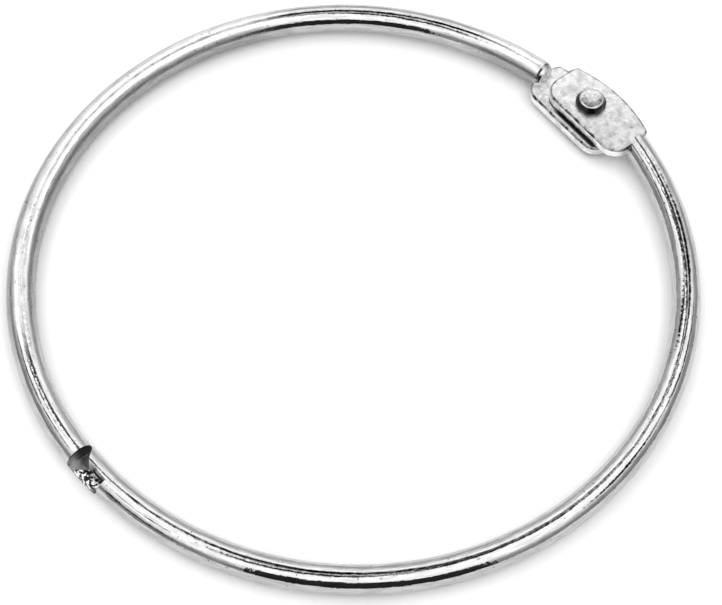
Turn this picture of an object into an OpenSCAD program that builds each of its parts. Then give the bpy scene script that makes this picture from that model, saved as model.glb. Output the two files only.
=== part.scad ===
// Hinged snap ring bent from round wire: two half rings, riveted together at one
// side through their flattened ends and lapped in a notched clasp at the other.
// The ring lies in the XY plane round the origin, with the hinge on +X, the clasp
// on -X and the rivet's made head up. Half A is the +Y half, half B the -Y half.

/* [Ring] */
// Nominal inside diameter of the closed ring
inside_d = 76; // [50:1:110]
// Diameter of the wire
wire_d = 3.5; // [3.2:0.1:4]
// How much larger half B is bent than half A, in radius
bend_diff = 0.8; // [0:0.1:1.6]
// Distance between the centres of the two bends, along X
centre_gap = 1; // [0.6:0.1:1.4]

/* [Hinge lugs] */
// How far the rivet's axis sits inside the mean bend radius
rivet_in = 0.7; // [0.3:0.1:1.1]
// Width of a flattened lug
lug_w = 7; // [6.6:0.1:8]
// Thickness of a flattened lug
lug_t = 1.5; // [1.2:0.1:1.6]
// Distance from the rivet's axis to a lug's tip
lug_tip = 5.5; // [4.6:0.1:6]
// Distance from the rivet's axis to a lug's root inside the wire
lug_root = 8; // [7.8:0.1:9.5]
// Distance from the rivet's axis to the end of the full round wire
wire_end = 7.4; // [7.2:0.1:7.6]
// How far half A's lug is set over inwards, towards its own wire
shift_a = 0.65; // [0:0.05:0.8]
// How far half B's lug is set over outwards, towards its own wire
shift_b = 0.25; // [0:0.05:0.5]
// Radius of a lug's corners, seen from above
lug_corner = 2.4; // [1.8:0.1:3]
// Radius of the bowed outer edge of a lug
lug_bow = 19; // [14:0.5:30]
// How far the bow's crest lies from the rivet, towards the root
lug_bow_y = 1.5; // [0:0.05:2.5]
// Chamfer along a lug's edges
lug_edge = 0.35; // [0.2:0.05:0.5]
// Gap between the two lugs
lug_gap = 0.1; // [0.04:0.02:0.2]

/* [Rivet] */
// Diameter of the shank
shank_d = 2.6; // [2:0.1:3]
// Diameter of both heads
head_d = 3.9; // [3.6:0.1:4.6]
// Height of the made head on top
head_h = 1.1; // [0.8:0.1:1.4]
// Height of the tail head underneath
tail_h = 0.8; // [0.6:0.1:1.2]
// Radius of the rounding round both heads
head_round = 0.5; // [0.2:0.05:0.55]
// Radial clearance of the shank in half B, which turns on it
turning_gap = 0.05; // [0.02:0.01:0.1]
// Radial clearance of the shank in half A, which holds it
fixed_gap = 0.01; // [0.01:0.005:0.02]
// Clearance under the made head
head_gap = 0.05; // [0.02:0.01:0.1]

/* [Clasp] */
// How far half A's shoulder stands past the X axis
shoulder_y = 0.45; // [0.2:0.05:0.9]
// Length of the notch behind the hook, along the wire's outside
notch_len = 1.35; // [1:0.05:1.8]
// Slant of the notch's wall on the hook, in degrees
notch_slant = 40; // [0:1:45]
// Length of the hook
hook_len = 3.5; // [2.8:0.05:4]
// Thickness of the neck left under the notch
neck_t = 1.15; // [0.9:0.05:1.4]
// Height of the hook above the wire's underside
hook_h = 2.5; // [1.8:0.1:3.2]
// How far the lap lies outside the wire's centre line
lap_out = 0.35; // [0.1:0.05:0.6]
// Lean of the lap from upright, in degrees
lap_lean = 12; // [0:1:20]
// Angle between half B's nose and the wire, in degrees
nose_angle = 47; // [35:1:60]
// Gap between the two halves all along the clasp
clasp_gap = 0.15; // [0.1:0.05:0.3]

/* [Hidden] */
$fn = 96;
steel = [0.78, 0.79, 0.80];
satin = [0.70, 0.70, 0.71];

wire_r = wire_d / 2;
mean_r = (inside_d + wire_d) / 2;
bend_a = mean_r - bend_diff / 2;
bend_b = mean_r + bend_diff / 2;
centre_a = -centre_gap / 2;
centre_b = centre_gap / 2;
lug_len = lug_tip + lug_root;
lug_base = lug_gap / 2;
rivet_x = mean_r - rivet_in;
shank_r = shank_d / 2;
head_r = head_d / 2;
lap_x = -mean_r - lap_out;
lug_face = lug_base + lug_t;
notch_end_y = shoulder_y - notch_len;
hook_end_y = notch_end_y - hook_len;
// Larger than any cut it is used for
far = 4 * wire_d;

// Round wire bent about (centre, 0), from the angle a0 to the angle a1
module bent_wire(centre, bend, a0, a1) {
    translate([centre, 0, 0])
        rotate([0, 0, a0])
            rotate_extrude(angle = a1 - a0, $fn = 360)
                translate([bend, 0])
                    circle(wire_r);
}

// Section of a flat bar, w wide and lug_t thick, with chamfered edges
module bar_section(w) {
    side = w / 2;
    polygon([
        [lug_edge - side, 0], [side - lug_edge, 0],
        [side, lug_edge], [side, lug_t - lug_edge],
        [side - lug_edge, lug_t], [lug_edge - side, lug_t],
        [-side, lug_t - lug_edge], [-side, lug_edge]
    ]);
}

// Disc of the radius r and the thickness lug_t, with chamfered edges
module edged_disc(r) {
    cylinder(r1 = r - lug_edge, r2 = r, h = lug_edge);
    translate([0, 0, lug_edge]) cylinder(r = r, h = lug_t - 2 * lug_edge);
    translate([0, 0, lug_t - lug_edge]) cylinder(r1 = r, r2 = r - lug_edge, h = lug_edge);
}

// Flattened lug standing on z = 0, with the rivet's axis at the origin. Its tip
// points to -Y and its root to +Y, and its back, on the +X side, is bowed.
module lug() {
    side_x = lug_w / 2 - lug_corner;
    side_y = lug_len / 2 - lug_corner;
    intersection() {
        translate([0, lug_len / 2 - lug_tip, 0]) {
            translate([0, side_y, 0])
                rotate([90, 0, 0])
                    linear_extrude(2 * side_y) bar_section(lug_w);
            translate([-side_x, 0, 0])
                rotate([90, 0, 90])
                    linear_extrude(2 * side_x) bar_section(lug_len);
            for (x = [-side_x, side_x], y = [-side_y, side_y])
                translate([x, y, 0]) edged_disc(lug_corner);
        }
        translate([lug_w / 2 - lug_bow, lug_bow_y, 0]) edged_disc(lug_bow);
    }
}

// Hole for the rivet's shank through a lug
module shank_hole(gap) {
    translate([rivet_x, 0, -far])
        cylinder(r = shank_r + gap, h = 2 * far);
}

// The space outside the lap and past the nose, drawn back from both by gap. The
// lap leans towards the ring's middle as it rises.
module outside_lap(gap) {
    lean = far * tan(lap_lean);
    lap = lap_x - gap;
    rotate([90, 0, 0])
        linear_extrude(2 * far, center = true)
            polygon([[lap - lean, -far], [lap + lean, far], [lap - far, far], [lap - far, -far]]);
    along = far * [sin(nose_angle), cos(nose_angle)];
    nose = [wire_r - mean_r, shoulder_y - clasp_gap + gap / sin(nose_angle)];
    linear_extrude(2 * far, center = true)
        polygon([nose + along, nose - along, nose - along + [0, 2 * far], nose + along + [0, far]]);
}

// What half A loses past its shoulder: all but the neck under the notch and the
// hook at its end, which lie outside the lap
module hook_cut() {
    difference() {
        translate([-mean_r - far, shoulder_y - 2 * far, -far])
            cube(2 * far);
        intersection() {
            outside_lap(clasp_gap / 2);
            translate([-mean_r - far, hook_end_y, -far])
                cube([2 * far, hook_len + far, far - wire_r + hook_h]);
            union() {
                translate([-mean_r - far, hook_end_y, -far])
                    cube([2 * far, hook_len + far, far - wire_r + neck_t]);
                translate([-mean_r - wire_r, notch_end_y, 0])
                    rotate([0, 0, -notch_slant])
                        translate([-far, -2 * far, -far])
                            cube(2 * far);
            }
        }
    }
}

// What half B loses past its own shoulder: all that lies outside the lap
module nose_cut() {
    intersection() {
        outside_lap(-clasp_gap / 2);
        translate([-mean_r - far, hook_end_y - clasp_gap, -far])
            cube(2 * far);
    }
}

// Half ring with the lower lug and the hook; the rivet is fixed in it
module half_a() {
    color(steel)
        difference() {
            union() {
                bent_wire(centre_a, bend_a, asin(wire_end / bend_a), 190);
                translate([rivet_x - shift_a, 0, -lug_face]) lug();
            }
            shank_hole(fixed_gap);
            hook_cut();
        }
}

// Half ring with the upper lug, which turns on the rivet, and the nose
module half_b() {
    color(steel)
        difference() {
            union() {
                bent_wire(centre_b, bend_b, 177, 360 - asin(wire_end / bend_b));
                translate([rivet_x + shift_b, 0, lug_base]) mirror([0, 1, 0]) lug();
            }
            shank_hole(turning_gap);
            nose_cut();
        }
}

// Rivet head of the height h, rounded round its top
module head(h) {
    rotate_extrude()
        intersection() {
            union() {
                square([head_r, h - head_round]);
                square([head_r - head_round, h]);
                translate([head_r - head_round, h - head_round]) circle(head_round);
            }
            square([head_r, h]);
        }
}

// Rivet: shank with a head at each end
module rivet() {
    color(satin)
        translate([rivet_x, 0, 0]) {
            translate([0, 0, -lug_face]) cylinder(r = shank_r, h = 2 * lug_face + head_gap);
            translate([0, 0, lug_face + head_gap]) head(head_h);
            translate([0, 0, -lug_face]) mirror([0, 0, 1]) head(tail_h);
        }
}

half_a();
half_b();
rivet();
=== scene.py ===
import math

import bmesh
import bpy
from mathutils import Matrix, Vector


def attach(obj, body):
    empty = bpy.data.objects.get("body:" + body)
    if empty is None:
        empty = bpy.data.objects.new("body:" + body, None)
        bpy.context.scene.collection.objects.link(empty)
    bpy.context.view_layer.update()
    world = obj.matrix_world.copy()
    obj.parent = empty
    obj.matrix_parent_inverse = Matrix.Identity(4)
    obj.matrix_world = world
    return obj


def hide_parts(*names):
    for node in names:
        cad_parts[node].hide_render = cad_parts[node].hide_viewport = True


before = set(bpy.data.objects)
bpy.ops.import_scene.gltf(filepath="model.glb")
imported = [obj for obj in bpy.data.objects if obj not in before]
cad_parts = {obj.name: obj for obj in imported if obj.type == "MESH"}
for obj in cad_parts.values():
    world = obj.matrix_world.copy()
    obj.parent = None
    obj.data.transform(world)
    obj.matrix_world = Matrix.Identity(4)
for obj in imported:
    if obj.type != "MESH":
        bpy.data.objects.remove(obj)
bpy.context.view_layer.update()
bpy.ops.object.select_all(action="DESELECT")

mm = 0.001
near = 0.02  # millimetres: places closer than this count as the same
weld = 1e-6  # metres: points closer than this become one
fineWeld = 1e-7


def finishPrimitive(name):
    piece = bpy.context.object
    piece.name = name
    piece.data.name = name
    bpy.ops.object.transform_apply(location=True, rotation=True, scale=True)
    return piece


def makeActive(piece):
    bpy.ops.object.select_all(action="DESELECT")
    piece.select_set(True)
    bpy.context.view_layer.objects.active = piece


def startEdit(piece, mode="FACE"):
    makeActive(piece)
    bpy.ops.object.mode_set(mode="EDIT")
    bpy.ops.mesh.select_mode(type=mode)
    bpy.ops.mesh.select_all(action="DESELECT")


def endEdit():
    bpy.ops.object.mode_set(mode="OBJECT")


# Selects what passes the test, in the piece being edited
def pick(kind, test):
    mesh = bpy.context.object.data
    data = bmesh.from_edit_mesh(mesh)
    for element in getattr(data, kind):
        if test(element):
            element.select_set(True)
    data.select_flush_mode()
    bmesh.update_edit_mesh(mesh)


def mergePoints(threshold):
    bpy.ops.mesh.select_all(action="SELECT")
    bpy.ops.mesh.remove_doubles(threshold=threshold)
    bpy.ops.mesh.normals_make_consistent(inside=False)


# Cuts, joins or trims a piece with a tool mesh, which is used up
def shapeWith(piece, tool, operation="DIFFERENCE"):
    makeActive(piece)
    modifier = piece.modifiers.new("shape", "BOOLEAN")
    modifier.operation = operation
    modifier.object = tool
    modifier.solver = "EXACT"
    bpy.ops.object.modifier_apply(modifier=modifier.name)
    bpy.data.objects.remove(tool)


# A large block, kept only where each (point, normal) plane in keep is behind it
def makeBlock(name, size, keep):
    bpy.ops.mesh.primitive_cube_add(size=size, location=keep[0][0])
    block = finishPrimitive(name)
    for point, normal in keep:
        startEdit(block)
        bpy.ops.mesh.select_all(action="SELECT")
        bpy.ops.mesh.bisect(plane_co=point, plane_no=normal, use_fill=True,
                            clear_outer=True, threshold=fineWeld)
        endEdit()
    return block


def newMaterial(name):
    material = bpy.data.materials.new(name)
    material.use_nodes = True
    tree = material.node_tree
    tree.nodes.clear()
    output = addNode(tree, "OutputMaterial")
    shader = addNode(tree, "BsdfPrincipled")
    tree.links.new(shader.outputs["BSDF"], output.inputs["Surface"])
    shader.inputs["Metallic"].default_value = 1.0
    return material, tree, shader


def addNode(tree, kind, **settings):
    node = tree.nodes.new("ShaderNode" + kind)
    for key, value in settings.items():
        setattr(node, key, value)
    return node


def addMath(tree, operation, first, second=0.0):
    node = addNode(tree, "Math", operation=operation)
    for socket, value in zip(node.inputs, (first, second)):
        if isinstance(value, (int, float)):
            socket.default_value = value
        else:
            tree.links.new(value, socket)
    return node.outputs[0]


# The length of the two sides' diagonal
def addDiagonal(tree, first, second):
    squares = [addMath(tree, "MULTIPLY", side, side) for side in (first, second)]
    return addMath(tree, "SQRT", addMath(tree, "ADD", *squares))


# A value remapped from two levels to two results, smoothly if nothing else is said
def addRamp(tree, value, levels, results, kind="SMOOTHSTEP"):
    ramp = addNode(tree, "MapRange", interpolation_type=kind)
    for socket, number in zip(("From Min", "From Max", "To Min", "To Max"), (*levels, *results)):
        ramp.inputs[socket].default_value = number
    tree.links.new(value, ramp.inputs["Value"])
    return ramp.outputs["Result"]


# A noise pattern; noise holds its scale, its detail and the levels that give the results
def addNoise(tree, vector, noise, results):
    scale, detail, *levels = noise
    texture = addNode(tree, "TexNoise")
    texture.inputs["Scale"].default_value = scale
    texture.inputs["Detail"].default_value = detail
    tree.links.new(vector, texture.inputs["Vector"])
    return addRamp(tree, texture.outputs["Fac"], levels, results)


# Relief of a height in millimetres, over an earlier relief if there is one
def addRelief(tree, vector, noise, height, under=None):
    bump = addNode(tree, "Bump")
    bump.inputs["Strength"].default_value = 1.0
    bump.inputs["Distance"].default_value = height * mm
    tree.links.new(addNoise(tree, vector, noise, (0.0, 1.0)), bump.inputs["Height"])
    if under is not None:
        tree.links.new(under, bump.inputs["Normal"])
    return bump.outputs["Normal"]


def linkGrey(tree, value, target):
    combine = addNode(tree, "CombineColor")
    for channel in ("Red", "Green", "Blue"):
        tree.links.new(value, combine.inputs[channel])
    tree.links.new(combine.outputs["Color"], target)


def linkFinish(tree, shader, tone, rough, relief=None):
    linkGrey(tree, tone, shader.inputs["Base Color"])
    tree.links.new(rough, shader.inputs["Roughness"])
    if relief is not None:
        tree.links.new(relief, shader.inputs["Normal"])


def addPlace(tree):
    return addNode(tree, "TexCoord").outputs["Object"]


# The x, y and z of a vector
def splitVector(tree, vector):
    split = addNode(tree, "SeparateXYZ")
    tree.links.new(vector, split.inputs[0])
    return split.outputs[:]


# Noises are scale, detail and two levels; wave and draw are heights in millimetres
plateValues = {
    "tone": (0.41, 0.54), "toneNoise": (3500.0, 4.0, 0.35, 0.65),
    "pit": (1.0, 0.25), "pitNoise": (2600.0, 2.0, 0.68, 0.74),
    "roughness": (0.03, 0.08), "roughNoise": (900.0, 3.0, 0.35, 0.7),
    "wave": 0.009, "waveNoise": (1300.0, 2.0, 0.2, 0.8),
    "draw": 0.005, "drawNoise": (3500.0, 3.0, 0.2, 0.8), "drawStretch": 0.12,
}

# Half A is duller in some stretches of its bend, in degrees. There its tone grows by one of two
# shares, the first up to the lower of the topLevels and the second from the upper one on, which
# are heights in millimetres; the darker first and the paler second make a painted light on the
# wire's top
dullWireAndLitTop = {
    "stretches": ((-20.0, 24.0), (66.0, 156.0)), "soft": 6.0, "roughness": 0.22,
    "topLevels": (1.3, 1.64), "litTopShare": (-0.32, 0.66),
}


# A place that runs along the bent wire, so that draw lines follow the bend
def addDrawnPlace(tree, turn, x, y, z):
    along = addMath(tree, "MULTIPLY", turn, ringValues["meanRadius"] * mm)
    along = addMath(tree, "MULTIPLY", along, plateValues["drawStretch"])
    combine = addNode(tree, "CombineXYZ")
    for value, socket in zip((along, addDiagonal(tree, x, y), z), combine.inputs):
        tree.links.new(value, socket)
    return combine.outputs[0]


# 1 in the dull stretches and 0 in the others
def addDullness(tree, turn):
    dullness = 0.0
    for stretch in dullWireAndLitTop["stretches"]:
        ends = []
        for angle, results in zip(stretch, ((0.0, 1.0), (1.0, 0.0))):
            end, soft = math.radians(angle), math.radians(dullWireAndLitTop["soft"])
            ends.append(addRamp(tree, turn, (end - soft, end + soft), results))
        dullness = addMath(tree, "ADD", addMath(tree, "MULTIPLY", *ends), dullness)
    return dullness


def makePlatedWire(name, dullWithLitTop):
    v = plateValues
    material, tree, shader = newMaterial(name)
    place = addPlace(tree)
    x, y, z = splitVector(tree, place)
    turn = addMath(tree, "ARCTAN2", y, x)
    drawn = addDrawnPlace(tree, turn, x, y, z)
    tone = addNoise(tree, drawn, v["toneNoise"], v["tone"])
    tone = addMath(tree, "MULTIPLY", tone, addNoise(tree, place, v["pitNoise"], v["pit"]))
    rough = addNoise(tree, place, v["roughNoise"], v["roughness"])
    if dullWithLitTop:
        # In the dull stretches the wire's top is painted paler than its lower part, a painted
        # light
        dullness = addDullness(tree, turn)
        levels = [level * mm for level in dullWireAndLitTop["topLevels"]]
        litTopShare = addMath(tree, "MULTIPLY", dullness, addRamp(tree, z, levels, dullWireAndLitTop["litTopShare"]))
        tone = addMath(tree, "MULTIPLY", tone, addMath(tree, "ADD", litTopShare, 1.0))
        rougher = addMath(tree, "MULTIPLY", dullness, dullWireAndLitTop["roughness"])
        rough = addMath(tree, "ADD", rough, rougher)
    wave = addRelief(tree, place, v["waveNoise"], v["wave"])
    draw = addRelief(tree, drawn, v["drawNoise"], v["draw"], wave)
    linkFinish(tree, shader, tone, rough, draw)
    return material


# The painted shade is a dark line along the lower lug, beside the upper lug's edge
lugFinish = {
    "tone": (0.48, 0.7), "toneNoise": (1100.0, 5.0, 0.32, 0.62),
    "roughness": (0.24, 0.4), "roughNoise": (1400.0, 4.0, 0.3, 0.7),
    "dent": 0.03, "dentNoise": (900.0, 3.0, 0.2, 0.8),
    "grain": 0.015, "grainNoise": (4200.0, 3.0, 0.2, 0.8),
    "paintedShade": (35.44, 36.0), "paintedShadeSoft": 0.1, "paintedShadeTone": 0.06, "paintedShadeEnd": (2.0, 3.4),
}


def makePressedLug():
    v = lugFinish
    material, tree, shader = newMaterial("pressedLug")
    place = addPlace(tree)
    x, y = splitVector(tree, place)[:2]
    # Painted shade: the lower lug's face is darkened in a band beside the upper lug's edge, near
    # the rivet
    low, high, soft = v["paintedShade"][0] * mm, v["paintedShade"][1] * mm, v["paintedShadeSoft"] * mm
    before = addRamp(tree, x, (low - soft, low + soft), (1.0, v["paintedShadeTone"]))
    after = addRamp(tree, x, (high - soft, high + soft), (v["paintedShadeTone"], 1.0))
    beyond = addRamp(tree, y, [end * mm for end in v["paintedShadeEnd"]], (0.0, 1.0))
    unshaded = addMath(tree, "MAXIMUM", addMath(tree, "MAXIMUM", before, after), beyond)
    tone = addMath(tree, "MULTIPLY", addNoise(tree, place, v["toneNoise"], v["tone"]), unshaded)
    rough = addNoise(tree, place, v["roughNoise"], v["roughness"])
    dents = addRelief(tree, place, v["dentNoise"], v["dent"])
    grain = addRelief(tree, place, v["grainNoise"], v["grain"], dents)
    linkFinish(tree, shader, tone, rough, grain)
    return material


# The rolled rim and the walls of a lug are plainer than its faces. The rim's dark tone is a
# painted dark reflection, and the walls' pale tone, which half B's lap wall also gets, is painted
# light
lugEdgeFinish = {
    "rim": (0.03, 0.4), "rimNoise": (1100.0, 3.0, 0.4, 0.6),
    "wall": (0.66, 0.9), "wallNoise": (900.0, 3.0, 0.4, 0.6),
    "roughness": (0.2, 0.35), "roughNoise": (1400.0, 4.0, 0.3, 0.7),
}


def makeLugEdge(name, part):
    v = lugEdgeFinish
    material, tree, shader = newMaterial(name)
    place = addPlace(tree)
    tone = addNoise(tree, place, v[part + "Noise"], v[part])
    linkFinish(tree, shader, tone, addNoise(tree, place, v["roughNoise"], v["roughness"]))
    return material


# The rim is a dark line of painted shade where a cut meets the wire's round: the depths, in
# millimetres, at which it starts and is full. Cuts and hook darken towards the inside of the ring
# as painted shade, between the outer and the inner distance from its middle
cutFinish = {
    "tone": (0.22, 0.46), "toneNoise": (1200.0, 4.0, 0.3, 0.7),
    "roughness": (0.3, 0.5), "roughNoise": (1400.0, 4.0, 0.3, 0.7),
    "torn": 0.03, "tornNoise": (2200.0, 4.0, 0.2, 0.8),
    "rim": (0.5, 0.25), "rimSide": 0.75, "rimShadeTone": 0.06,
    "inner": 39.7, "outer": 40.7, "shade": 0.4,
}

hookFinish = {
    "tone": (0.02, 0.9), "toneNoise": (2400.0, 4.0, 0.47, 0.54),
    "roughness": (0.15, 0.4), "roughNoise": (1400.0, 4.0, 0.3, 0.7),
    "torn": 0.08, "tornNoise": (1800.0, 3.0, 0.2, 0.8),
    "inner": 40.5, "outer": 41.1, "shade": 0.4,
}


# The tone factor of the painted shade at the rim of half A's wire
def addRimShade(tree, x, y, z):
    v = cutFinish
    across = addMath(tree, "SUBTRACT", x, ringValues["centreA"] * mm)
    off = addMath(tree, "SUBTRACT", addDiagonal(tree, across, y), ringValues["bendA"] * mm)
    off = addMath(tree, "MULTIPLY", off, v["rimSide"])
    edge = ringValues["wireDiameter"] / 2 * mm
    levels = [edge - depth * mm for depth in v["rim"]]
    return addRamp(tree, addDiagonal(tree, off, z), levels, (1.0, v["rimShadeTone"]))


# The tone factor that darkens the clasp towards the inside of the ring
def addInnerShade(tree, v, x, y):
    levels = (v["inner"] * mm, v["outer"] * mm)
    return addRamp(tree, addDiagonal(tree, x, y), levels, (v["shade"], 1.0))


def makeShearedFace():
    v = cutFinish
    material, tree, shader = newMaterial("shearedFace")
    place = addPlace(tree)
    x, y, z = splitVector(tree, place)
    tone = addNoise(tree, place, v["toneNoise"], v["tone"])
    # Painted shade: dark at the rim where the cut meets the wire's round, and darker towards the
    # inside of the ring
    tone = addMath(tree, "MULTIPLY", tone, addRimShade(tree, x, y, z))
    tone = addMath(tree, "MULTIPLY", tone, addInnerShade(tree, v, x, y))
    rough = addNoise(tree, place, v["roughNoise"], v["roughness"])
    linkFinish(tree, shader, tone, rough, addRelief(tree, place, v["tornNoise"], v["torn"]))
    return material


def makeWornHook():
    v = hookFinish
    material, tree, shader = newMaterial("wornHook")
    place = addPlace(tree)
    x, y = splitVector(tree, place)[:2]
    tone = addNoise(tree, place, v["toneNoise"], v["tone"])
    tone = addMath(tree, "MULTIPLY", tone, addInnerShade(tree, v, x, y))
    rough = addNoise(tree, place, v["roughNoise"], v["roughness"])
    linkFinish(tree, shader, tone, rough, addRelief(tree, place, v["tornNoise"], v["torn"]))
    return material


rivetFinish = {
    "face": (0.38, 0.52), "shadedFlank": (0.03, 0.12), "toneNoise": (1500.0, 4.0, 0.3, 0.7),
    "roughness": (0.12, 0.22), "roughNoise": (1400.0, 4.0, 0.3, 0.7),
    "dent": 0.015, "dentNoise": (1400.0, 3.0, 0.2, 0.8),
}


def makeTumbledRivet(name, part):
    v = rivetFinish
    material, tree, shader = newMaterial(name)
    place = addPlace(tree)
    tone = addNoise(tree, place, v["toneNoise"], v[part])
    rough = addNoise(tree, place, v["roughNoise"], v["roughness"])
    linkFinish(tree, shader, tone, rough, addRelief(tree, place, v["dentNoise"], v["dent"]))
    return material


# Millimetres and degrees; each half is bent about its own centre, a little off the middle
ringValues = {
    "wireDiameter": 3.5,
    "meanRadius": 39.75,
    "bendA": 39.35, "centreA": -0.5,
    "bendB": 40.15, "centreB": 0.5,
    "wireEnd": 7.4,
    "endRounding": (0.8, 0.93, 0.98),
    "around": 96, "stepAngle": 0.5, "hingeStub": 4.0, "claspStub": 10.0, "smooth": 32.0,
}


# Round wire bent about (centre, 0), from the angle start to the angle end
def makeBentWire(name, centre, bend, start, end):
    startAngle = math.radians(start)
    sweep = math.radians(end - start)
    place = (centre + bend * math.cos(startAngle), bend * math.sin(startAngle), 0)
    bpy.ops.mesh.primitive_circle_add(
        vertices=ringValues["around"], radius=ringValues["wireDiameter"] / 2 * mm,
        fill_type="NGON", location=Vector(place) * mm, rotation=(math.pi / 2, 0, startAngle))
    wire = finishPrimitive(name)
    startEdit(wire)
    bpy.ops.mesh.select_all(action="SELECT")
    steps = max(2, round((end - start) / ringValues["stepAngle"]))
    bpy.ops.mesh.spin(steps=steps, angle=-sweep, center=(centre * mm, 0, 0), axis=(0, 0, 1))
    mergePoints(fineWeld)
    endEdit()
    return wire


# Rounds the end of a wire at the given angle, ring by ring
def roundEnd(wire, centre, bend, angle, inward):
    startEdit(wire, "VERT")
    for ring, size in enumerate(ringValues["endRounding"]):
        turn = math.radians(angle + inward * ring * ringValues["stepAngle"])
        along = Vector((-math.sin(turn), math.cos(turn), 0))
        middle = Vector((centre + bend * math.cos(turn), bend * math.sin(turn), 0)) * mm
        bpy.ops.mesh.select_all(action="DESELECT")
        pick("verts", lambda p: abs((p.co - middle).dot(along)) < near * mm)
        bpy.ops.transform.resize(value=(size, size, size), center_override=middle)
    endEdit()


# Joins stretches of wire end to end, without the walls between them
def joinStretches(stretches, centre, angles):
    facing, onPlane = 0.999, 0.001 * mm
    makeActive(stretches[0])
    for stretch in stretches[1:]:
        stretch.select_set(True)
    bpy.ops.object.join()
    wire = bpy.context.object
    startEdit(wire)
    for angle in angles:
        along = Vector((-math.sin(math.radians(angle)), math.cos(math.radians(angle)), 0))
        point = Vector((centre * mm, 0, 0))
        pick("faces", lambda f: abs(f.normal.dot(along)) > facing
             and abs((f.calc_center_median() - point).dot(along)) < onPlane
             and (f.calc_center_median() - point).cross(along).z > 0)
    bpy.ops.mesh.delete(type="ONLY_FACE")
    mergePoints(weld)
    endEdit()
    return wire


# Millimetres; the bow is the radius of the lug's outer side, about a centre bowY along it.
# An edge is rolled where it turns by more than sharp, in radians
lugValues = {
    "width": 7.0, "thickness": 1.5, "tip": 5.5, "root": 8.0,
    "rivetX": 39.05, "shiftA": -0.65, "shiftB": 0.25,
    "corner": 2.4, "cornerSteps": 14, "roll": 0.24, "rollSteps": 5,
    "bow": 19.0, "bowY": 1.5, "bowSides": 360, "sharp": 1.0,
    "gap": 0.1,
}


# Flattened lug round the rivet's axis; side is 1 where its root points to +Y
def makeLug(name, shift, base, side):
    v = lugValues
    length = v["tip"] + v["root"]
    centreY = side * (length / 2 - v["tip"])
    centreX = v["rivetX"] + shift
    middleZ = base + v["thickness"] / 2
    bpy.ops.mesh.primitive_cube_add(size=1, location=Vector((centreX, centreY, middleZ)) * mm,
                                    scale=Vector((v["width"], length, v["thickness"])) * mm)
    lug = finishPrimitive(name)
    startEdit(lug, "EDGE")
    upright = 0.5 * v["thickness"] * mm
    pick("edges", lambda e: abs((e.verts[0].co - e.verts[1].co).z) > upright)
    bpy.ops.mesh.bevel(offset=v["corner"] * mm, segments=v["cornerSteps"], affect="EDGES")
    endEdit()
    bowX = centreX + v["width"] / 2 - v["bow"]
    bpy.ops.mesh.primitive_cylinder_add(
        vertices=v["bowSides"], radius=v["bow"] * mm, depth=4 * v["thickness"] * mm,
        location=Vector((bowX, side * v["bowY"], middleZ)) * mm)
    shapeWith(lug, finishPrimitive("bowTool"), "INTERSECT")
    startEdit(lug, "EDGE")
    pick("edges", lambda e: abs(e.verts[0].co.z - e.verts[1].co.z) < near * mm
         and len(e.link_faces) == 2 and e.calc_face_angle(0) > v["sharp"])
    bpy.ops.mesh.bevel(offset=v["roll"] * mm, segments=v["rollSteps"], affect="EDGES",
                       clamp_overlap=True)
    endEdit()
    return lug


def makeHole(radius):
    bpy.ops.mesh.primitive_cylinder_add(
        vertices=rivetValues["around"], radius=radius * mm, depth=8 * lugValues["thickness"] * mm,
        location=(lugValues["rivetX"] * mm, 0, 0))
    return finishPrimitive("holeTool")


# Millimetres and degrees; the notch, neck and hook are half A's, and the nose is half B's
claspValues = {
    "shoulderY": 0.45, "notchEndY": -0.9, "notchSlant": 40.0,
    "hookEndY": -4.4, "neckTop": -0.6, "hookTop": 0.75,
    "hookCorner": (-41.1, -4.0), "hookCornerNormal": (0.62, 0.78, 0),
    "lapX": -40.1, "lapLean": 12.0, "noseAngle": 47.0, "gap": 0.15,
    "toolSize": 30.0,
}


# Planes of the clasp: each is a point and the normal that leaves half A's side
def lapPlane(gap):
    v = claspValues
    lean = math.radians(v["lapLean"])
    return Vector((v["lapX"] - gap, 0, 0)) * mm, Vector((math.cos(lean), 0, -math.sin(lean)))


def nosePlane(gap):
    v = claspValues
    angle = math.radians(v["noseAngle"])
    noseX = (ringValues["wireDiameter"] / 2 - ringValues["meanRadius"])
    noseY = v["shoulderY"] - v["gap"] + gap / math.sin(angle)
    return Vector((noseX, noseY, 0)) * mm, Vector((math.cos(angle), -math.sin(angle), 0))


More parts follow.
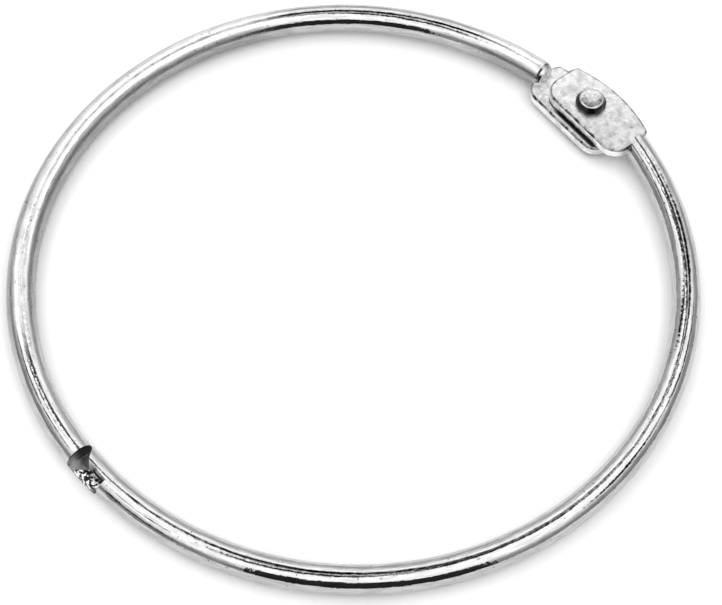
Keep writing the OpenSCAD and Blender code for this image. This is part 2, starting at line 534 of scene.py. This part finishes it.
def makeHalfA():
    v, c = ringValues, claspValues
    large, small = c["toolSize"] * mm, c["toolSize"] / 3 * mm
    first = math.degrees(math.asin(v["wireEnd"] / v["bendA"]))
    second, third, last = first + v["hingeStub"], 180 - v["claspStub"] / 2, 180 + v["claspStub"]
    hinge = makeBentWire("hingeEndA", v["centreA"], v["bendA"], first, second)
    middle = makeBentWire("arcA", v["centreA"], v["bendA"], second, third)
    half = makeBentWire("halfRingA", v["centreA"], v["bendA"], third, last)
    roundEnd(hinge, v["centreA"], v["bendA"], first, 1)
    base = -lugValues["gap"] / 2 - lugValues["thickness"]
    shapeWith(hinge, makeLug("lugA", lugValues["shiftA"], base, 1), "UNION")
    shapeWith(hinge, makeHole(rivetValues["shank"] / 2 + rivetValues["fixedGap"]))
    wireX = -v["meanRadius"] * mm
    shoulder = (Vector((wireX, c["shoulderY"] * mm, 0)), Vector((0, 1, 0)))
    down = Vector((0, 0, -1))
    # the room of half B's nose, on the inner side of the lap
    lapPoint, lapNormal = lapPlane(c["gap"] / 2)
    nosePoint, noseNormal = nosePlane(c["gap"] / 2)
    room = [(lapPoint, -lapNormal), (nosePoint, -noseNormal), shoulder]
    shapeWith(half, makeBlock("noseRoom", large, room))
    # the notch down to the neck
    slant = math.radians(c["notchSlant"])
    wall = (Vector((wireX - v["wireDiameter"] / 2 * mm, c["notchEndY"] * mm, 0)),
            Vector((-math.sin(slant), -math.cos(slant), 0)))
    floor = (Vector((wireX, c["notchEndY"] * mm, c["neckTop"] * mm)), down)
    shapeWith(half, makeBlock("notchRoom", small, [floor, wall, shoulder]))
    # the hook's top, its end and its corner
    top = (Vector((wireX, c["notchEndY"] * mm, c["hookTop"] * mm)), down)
    shapeWith(half, makeBlock("hookTop", small, [top, shoulder]))
    end = (Vector((wireX, c["hookEndY"] * mm, 0)), Vector((0, 1, 0)))
    shapeWith(half, makeBlock("hookEnd", small, [end]))
    corner = (Vector((*c["hookCorner"], 0)) * mm, Vector(c["hookCornerNormal"]))
    shapeWith(half, makeBlock("hookCorner", small, [corner]))
    return joinStretches([half, middle, hinge], v["centreA"], (second, third))


def makeHalfB():
    v, c = ringValues, claspValues
    large, medium = c["toolSize"] * mm, c["toolSize"] / 2 * mm
    last = 360 - math.degrees(math.asin(v["wireEnd"] / v["bendB"]))
    first, second = 180 - v["claspStub"] / 2, 180 + v["claspStub"] * 1.5
    third = last - v["hingeStub"]
    half = makeBentWire("halfRingB", v["centreB"], v["bendB"], first, second)
    middle = makeBentWire("arcB", v["centreB"], v["bendB"], second, third)
    hinge = makeBentWire("hingeEndB", v["centreB"], v["bendB"], third, last)
    base = lugValues["gap"] / 2
    shapeWith(hinge, makeLug("lugB", lugValues["shiftB"], base, -1), "UNION")
    shapeWith(hinge, makeHole(rivetValues["shank"] / 2 + rivetValues["turningGap"]))
    wireX = -v["meanRadius"] * mm
    shoulder = (Vector((wireX, (c["hookEndY"] - c["gap"]) * mm, 0)), Vector((0, -1, 0)))
    shapeWith(half, makeBlock("lapRoom", large, [lapPlane(-c["gap"] / 2), shoulder]))
    shapeWith(half, makeBlock("noseCut", medium, [nosePlane(-c["gap"] / 2)]))
    return joinStretches([half, middle, hinge], v["centreB"], (second, third))


# How faces are told apart: least facings as cosines, and distances in millimetres
faceLimits = {
    "round": 0.97, "flat": 0.995, "upright": 0.1, "endWall": 0.5,
    "offWire": 0.05, "offEnd": 0.05, "offHook": 0.01, "offNotch": 0.1, "farX": 30.0,
}


# Faces of the wire, the lug and the clasp's cuts get their own finish
def finishHalf(half, side):
    v = faceLimits
    wireFinish = platedWireA if side > 0 else platedWireB
    for material in (wireFinish, pressedLug, shearedFace, wornHook, lugPaintedDarkRim, lugPaintedLitWall):
        half.data.materials.append(material)
    plated, lugFace, sheared, worn, rim, wall = range(len(half.data.materials))
    lugEnd = (ringValues["wireEnd"] + near) * mm
    hookEnd = (claspValues["hookEndY"] - v["offHook"]) * mm
    hookStart = (claspValues["notchEndY"] - v["offNotch"]) * mm
    neckTop = (claspValues["neckTop"] + near) * mm
    startEdit(half)
    data = bmesh.from_edit_mesh(half.data)
    centre = Vector((ringValues["centreA" if side > 0 else "centreB"], 0, 0)) * mm
    bend = ringValues["bendA" if side > 0 else "bendB"] * mm
    wireRadius = ringValues["wireDiameter"] / 2 * mm
    for face in data.faces:
        spot = face.calc_center_median()
        flat = Vector((spot.x, spot.y, 0))
        onAxis = centre + (flat - centre).normalized() * bend
        outward = (spot - onAxis).normalized()
        onWire = outward.dot(face.normal) > v["round"]
        if abs((spot - onAxis).length - wireRadius) > v["offWire"] * mm:
            onWire = False
        if spot.x > v["farX"] * mm and (not onWire or side * spot.y < lugEnd):
            wireEnd = (spot.y * side > lugEnd - v["offEnd"] * mm
                       and face.normal.y * side < -v["endWall"])
            level = abs(face.normal.z)
            onFace = wireEnd or level > v["flat"]
            face.material_index = lugFace if onFace else rim if level > v["upright"] else wall
        elif spot.x < -v["farX"] * mm and side > 0:
            onHook = hookEnd < spot.y < hookStart and spot.z > neckTop
            face.material_index = worn if onHook else plated if onWire else sheared
        elif spot.x < -v["farX"] * mm and not onWire:
            face.material_index = wall
    bmesh.update_edit_mesh(half.data)
    endEdit()
    makeActive(half)
    bpy.ops.object.shade_smooth_by_angle(angle=math.radians(ringValues["smooth"]))


# Millimetres; a corner is how far it reaches in from the side and along from the end. Where a
# face's normal rises less than flankSlope, it is flank and gets a painted shade; smooth is in
# degrees
rivetValues = {
    "shank": 2.6, "head": 3.9, "headHeight": 1.1, "tailHeight": 0.8,
    "topFace": 2.9, "dome": 0.05, "crown": 0.02, "topCorner": (0.12, 0.02),
    "wall": 0.3, "wallCorner": 0.06, "chamfer": 0.1,
    "tailDome": 0.03, "tailCorner": (0.18, 0.16), "tailWall": 0.42,
    "headGap": 0.05, "turningGap": 0.05, "fixedGap": 0.01,
    "around": 96, "flankSlope": 0.68, "smooth": 30.0,
}


def makeRivet():
    v = rivetValues
    face = lugValues["gap"] / 2 + lugValues["thickness"]
    bottom = -face - v["tailHeight"]
    headBase = face + v["headGap"]
    top = headBase + v["headHeight"]
    headR, topR, shankR = v["head"] / 2, v["topFace"] / 2, v["shank"] / 2
    tailIn, tailUp = v["tailCorner"]
    topIn, topDown = v["topCorner"]
    profile = [
        (0, bottom), (topR, bottom + v["tailDome"]),
        (headR - tailIn, bottom + tailUp), (headR, bottom + v["tailWall"]), (headR, -face),
        (shankR, -face), (shankR, headBase),
        (headR - v["chamfer"], headBase), (headR, headBase + v["chamfer"]),
        (headR, headBase + v["wall"]),
        (headR - v["wallCorner"], headBase + v["wall"] + v["chamfer"]),
        (topR + v["chamfer"], top - v["dome"] - v["chamfer"]),
        (topR, top - v["dome"] - topDown), (topR - topIn, top - v["dome"]),
        (topR * 0.5, top - v["crown"]), (0, top),
    ]
    bpy.ops.mesh.primitive_plane_add(size=1)
    rivet = finishPrimitive("hingeRivet")
    startEdit(rivet, "VERT")
    bpy.ops.mesh.select_all(action="SELECT")
    bpy.ops.mesh.merge(type="CENTER")
    axis = Vector((lugValues["rivetX"], 0, 0))
    start = axis + Vector((profile[0][0], 0, profile[0][1]))
    bpy.ops.transform.translate(value=start * mm)
    for (r0, z0), (r1, z1) in zip(profile, profile[1:]):
        step = Vector((r1 - r0, 0, z1 - z0)) * mm
        bpy.ops.mesh.extrude_region_move(TRANSFORM_OT_translate={"value": step})
    bpy.ops.mesh.select_all(action="SELECT")
    bpy.ops.mesh.spin(steps=v["around"], angle=2 * math.pi, center=axis * mm, axis=(0, 0, 1))
    mergePoints(weld)
    endEdit()
    for material in (rivetFace, rivetShadedFlank):
        rivet.data.materials.append(material)
    startEdit(rivet)
    # Painted shade: the flank faces get a near-black tone, standing in for the shade under the
    # head's rim
    pick("faces", lambda f: abs(f.normal.z) < v["flankSlope"])
    rivet.active_material_index = 1
    bpy.ops.object.material_slot_assign()
    endEdit()
    makeActive(rivet)
    bpy.ops.object.shade_smooth_by_angle(angle=math.radians(v["smooth"]))
    return rivet


platedWireA = makePlatedWire("platedWireA", True)
platedWireB = makePlatedWire("platedWireB", False)
pressedLug = makePressedLug()
shearedFace = makeShearedFace()
wornHook = makeWornHook()
# The lug's rim is painted dark as a reflection, and its walls are painted pale as light
lugPaintedDarkRim = makeLugEdge("lugPaintedDarkRim", "rim")
lugPaintedLitWall = makeLugEdge("lugPaintedLitWall", "wall")
rivetFace = makeTumbledRivet("rivetFace", "face")
rivetShadedFlank = makeTumbledRivet("rivetShadedFlank", "shadedFlank")
print("materials made")

halfA = makeHalfA()
finishHalf(halfA, 1)
halfB = makeHalfB()
finishHalf(halfB, -1)
print("half rings made")

rivet = makeRivet()
print("rivet made")

# Each piece with the body it rides on and the node it stands for
pieces = (
    (halfA, "half_a", "half_a"),
    (halfB, "half_b", "half_b"),
    (rivet, "half_a", "rivet"),
)
for piece, body, node in pieces:
    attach(piece, body)
    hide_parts(node)


# Millimetres, and the roll in degrees
cameraValues = {
    "place": (-85.11, -97.25, 213.23), "aim": (-1.69, -3.83, 0.0),
    "roll": 2.813, "lens": 102.73, "sensor": 36.0, "nearest": 1.0,
}


def makeCamera():
    v = cameraValues
    place, aim = Vector(v["place"]), Vector(v["aim"])
    back = (place - aim).normalized()
    side = Vector((0, 0, 1)).cross(back).normalized()
    up = back.cross(side)
    level = Matrix((side, up, back)).transposed()
    turn = level @ Matrix.Rotation(math.radians(v["roll"]), 3, "Z")
    bpy.ops.object.camera_add(location=place * mm, rotation=turn.to_euler())
    camera = bpy.context.object
    camera.name = "studioCamera"
    camera.data.lens = v["lens"]
    camera.data.sensor_width = v["sensor"]
    camera.data.sensor_fit = "HORIZONTAL"
    camera.data.clip_start = v["nearest"] * mm
    bpy.context.scene.camera = camera
    return (aim - place).normalized()


viewDirection = makeCamera()
viewAzimuth = math.atan2(viewDirection.y, viewDirection.x)


# The ring lies on the rivet's tail and on the wire across from it, so the floor falls by
# tiltDrop over tiltSpan, in millimetres. Its size is in metres, white is its tone as seen, and
# bounce is its tone for the light that it throws back
floorValues = {
    "size": 30.0, "white": 0.97, "bounce": 0.75,
    "tiltDrop": 0.6, "tiltSpan": 79.0, "tiltFrom": -40.0,
}


def makeFloor():
    v = floorValues
    bpy.ops.mesh.primitive_plane_add(size=v["size"])
    floor = finishPrimitive("studioFloor")
    fall = math.tan(math.atan2(v["tiltDrop"], v["tiltSpan"]))
    low = -ringValues["wireDiameter"] / 2
    startEdit(floor)
    bpy.ops.mesh.select_all(action="SELECT")
    data = bmesh.from_edit_mesh(floor.data)
    for vertex in data.verts:
        vertex.co.z = low * mm - (vertex.co.x - v["tiltFrom"] * mm) * fall
    bmesh.update_edit_mesh(floor.data)
    endEdit()
    material = bpy.data.materials.new("floorWhite")
    material.use_nodes = True
    tree = material.node_tree
    tree.nodes.clear()
    output = addNode(tree, "OutputMaterial")
    diffuse = addNode(tree, "BsdfDiffuse")
    path = addNode(tree, "LightPath")
    seen = addMath(tree, "MAXIMUM", path.outputs["Is Camera Ray"], path.outputs["Is Glossy Ray"])
    seen = addMath(tree, "MAXIMUM", seen, path.outputs["Is Transmission Ray"])
    tone = addRamp(tree, seen, (0.0, 1.0), (v["bounce"], v["white"]), "LINEAR")
    linkGrey(tree, tone, diffuse.inputs["Color"])
    tree.links.new(diffuse.outputs["BSDF"], output.inputs["Surface"])
    floor.data.materials.append(material)


makeFloor()


# A bright dome over a darker horizon, with a glow at the far side. Each dark strip has its
# two ends as azimuth from the far side and elevation, then its half width, in degrees. The
# levels are light strengths, and softness is a share of a spot's size
lightValues = {
    "levels": (0.42, 2.05), "edges": (18.0, 58.0),
    "glow": 0.4, "glowElevation": 8.0, "glowSize": (60.0, 34.0), "glowSoft": 0.6,
    "stripSoft": 0.5,
    "strips": (
        (-127, 72, 30, 80, 6.0),
        (45, 80, 14, 62, 4.5),
        (14, 62, 40, 38, 5.0),
        (-12, 78, 0, 54, 5.5),
        (-112, 24, -138, 20, 5.0),
        (-97, 57, -124, 56, 2.5),
        (108, 42, 74, 48, 5.0),
        (76, 48, 57, 30, 5.0),
        (-92, 48, -64, 30, 4.0),
        (-5, 60, -36, 57, 3.0),
        (-44, 31, -29, 54, 3.0),
        (-30, 55, -62, 59, 2.2),
    ),
}

# A dark screen behind the camera, which the ring reflects; distances in millimetres
screenValues = {
    "distance": 267.0, "shift": 45.0, "width": 310.0, "low": 4.0, "high": 245.0,
    "tone": 0.01, "roughness": 0.9,
}


def skyDirection(azimuth, elevation):
    turn = viewAzimuth - math.radians(azimuth)
    rise = math.radians(elevation)
    level = math.cos(rise)
    return Vector((math.cos(turn) * level, math.sin(turn) * level, math.sin(rise)))


# The level of an oval spot in the sky: results are those at its middle and round it
def addSpot(tree, direction, centre, side, wide, tall, soft, results):
    over = centre.cross(side)
    mapping = addNode(tree, "Mapping", vector_type="TEXTURE")
    turn = Matrix((side, over, centre)).transposed()
    mapping.inputs["Location"].default_value = centre
    mapping.inputs["Rotation"].default_value = turn.to_euler()
    mapping.inputs["Scale"].default_value = (wide, tall, max(wide, tall))
    tree.links.new(direction, mapping.inputs["Vector"])
    length = addNode(tree, "VectorMath", operation="LENGTH")
    tree.links.new(mapping.outputs["Vector"], length.inputs[0])
    return addRamp(tree, length.outputs["Value"], (1 - soft, 1 + soft), results)


def makeLight():
    v = lightValues
    world = bpy.data.worlds.new("studioLight")
    bpy.context.scene.world = world
    world.use_nodes = True
    tree = world.node_tree
    tree.nodes.clear()
    output = addNode(tree, "OutputWorld")
    background = addNode(tree, "Background")
    direction = addNode(tree, "TexCoord").outputs["Generated"]
    edges = [math.sin(math.radians(edge)) for edge in v["edges"]]
    level = addRamp(tree, splitVector(tree, direction)[2], edges, v["levels"])
    glowCentre = skyDirection(0, v["glowElevation"])
    glowSide = Vector((0, 0, 1)).cross(glowCentre).normalized()
    wide, tall = (math.sin(math.radians(size)) for size in v["glowSize"])
    glow = addSpot(tree, direction, glowCentre, glowSide, wide, tall, v["glowSoft"],
                   (v["glow"], 0.0))
    level = addMath(tree, "ADD", level, glow)
    for azimuth0, elevation0, azimuth1, elevation1, width in v["strips"]:
        first, second = skyDirection(azimuth0, elevation0), skyDirection(azimuth1, elevation1)
        centre = (first + second).normalized()
        side = (second - first).normalized()
        wide, tall = (second - first).length / 2, math.sin(math.radians(width))
        strip = addSpot(tree, direction, centre, side, wide, tall, v["stripSoft"], (0.0, 1.0))
        level = addMath(tree, "MULTIPLY", level, strip)
    tree.links.new(level, background.inputs["Color"])
    tree.links.new(background.outputs[0], output.inputs["Surface"])


def makeScreen():
    v = screenValues
    behind = Vector((-viewDirection.x, -viewDirection.y, 0)).normalized()
    right = Vector((-behind.y, behind.x, 0))
    rise = Vector((0, 0, (v["low"] + v["high"]) / 2))
    middle = behind * v["distance"] + right * v["shift"] + rise
    bpy.ops.mesh.primitive_plane_add(size=1, location=middle * mm,
                                     rotation=(math.pi / 2, 0, viewAzimuth - math.pi / 2))
    bpy.context.object.scale = (v["width"] * mm, (v["high"] - v["low"]) * mm, 1)
    screen = finishPrimitive("darkScreen")
    material, tree, shader = newMaterial("screenBlack")
    shader.inputs["Metallic"].default_value = 0.0
    shader.inputs["Base Color"].default_value = (v["tone"], v["tone"], v["tone"], 1)
    shader.inputs["Roughness"].default_value = v["roughness"]
    screen.data.materials.append(material)
    screen.visible_camera = False
    screen.visible_diffuse = False
    screen.visible_shadow = False


makeLight()
makeScreen()
bpy.context.scene.view_settings.view_transform = "Standard"
print("camera, floor and light made")
